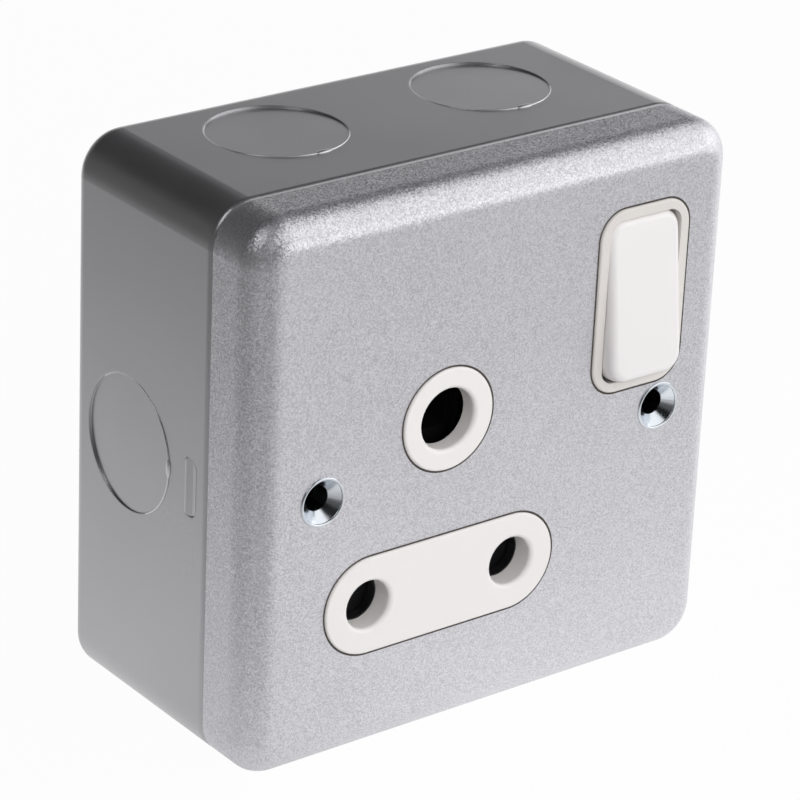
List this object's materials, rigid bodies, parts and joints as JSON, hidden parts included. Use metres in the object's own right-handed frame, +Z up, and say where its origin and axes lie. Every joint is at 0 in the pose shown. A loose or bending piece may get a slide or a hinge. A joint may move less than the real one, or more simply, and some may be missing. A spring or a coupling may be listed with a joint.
{
  "type": "metal clad socket",
  "caption": "Surface-mounted metal clad socket outlet with a square steel box, three round pin holes and a rocker switch.",
  "frame": {"origin": "centre of the box's back face, where it meets the wall", "axes": "+X to the right seen from the front, +Z up, and the front looks along -Y"},
  "size_m": [0.0844, 0.0474, 0.0844],
  "materials": {
    "box_paint": "smooth grey stoved paint, semi gloss",
    "plate_paint": "silver grey metallic flake paint",
    "zinc": "bright zinc plate",
    "white_moulding": "moulded white, soft gloss",
    "rocker_moulding": "moulded white, soft gloss",
    "dark_moulding": "moulded black",
    "brass": "turned and pressed brass",
    "copper": "rolled copper strip",
    "silver": "silver contact rivet",
    "spring_steel": "drawn spring wire"
  },
  "bodies": {
    "housing": {"back_box": "box_paint", "box_lug_left": "box_paint", "box_lug_right": "box_paint", "box_earth_post": "brass", "box_earth_screw": "zinc", "front_plate": "plate_paint", "eyelet_left": "zinc", "eyelet_right": "zinc", "front_moulding": "white_moulding", "base_moulding": "dark_moulding", "assembly_screws": "zinc", "fixed_strip_neutral": "copper", "fixed_strip_line": "copper", "fixed_tips": "silver", "busbar_neutral": "copper", "busbar_line": "copper", "tube_neutral": "brass", "tube_line": "brass", "tube_earth": "brass", "terminal_block_neutral": "brass", "terminal_block_line": "brass", "terminal_block_earth": "brass", "terminal_screw_neutral": "brass", "terminal_screw_line": "brass", "terminal_screw_earth": "brass", "earth_strap": "zinc", "shutter_spring": "spring_steel"},
    "rocker": {"rocker": "rocker_moulding", "plunger_neutral": "dark_moulding", "plunger_line": "dark_moulding", "plunger_spring_neutral": "spring_steel", "plunger_spring_line": "spring_steel"},
    "moving_contacts": {"contact_blade_neutral": "copper", "contact_blade_line": "copper", "moving_tips": "silver"},
    "shutter": {"shutter": "dark_moulding"}
  },
  "joints": [
    {"name": "rocker_tilt", "type": "hinge", "parent": "housing", "child": "rocker", "pos_m": [0.0252, -0.0428, 0.01845], "axis": [1, 0, 0], "range_deg": [0, 14]},
    {"name": "contact_rock", "type": "hinge", "parent": "housing", "child": "moving_contacts", "pos_m": [0.0252, -0.0257, 0.01845], "axis": [1, 0, 0], "range_deg": [-18, 0]},
    {"name": "shutter_slide", "type": "slide", "parent": "housing", "child": "shutter", "axis": [0, 0, 1], "range_m": [0, 0.0094], "stiffness_N_per_m": 40, "springref_m": -0.004, "deforming": ["shutter_spring"]}
  ],
  "couplings": [
    {"joint": "contact_rock", "follows": "rocker_tilt", "ratio": -1.2857}
  ]
}
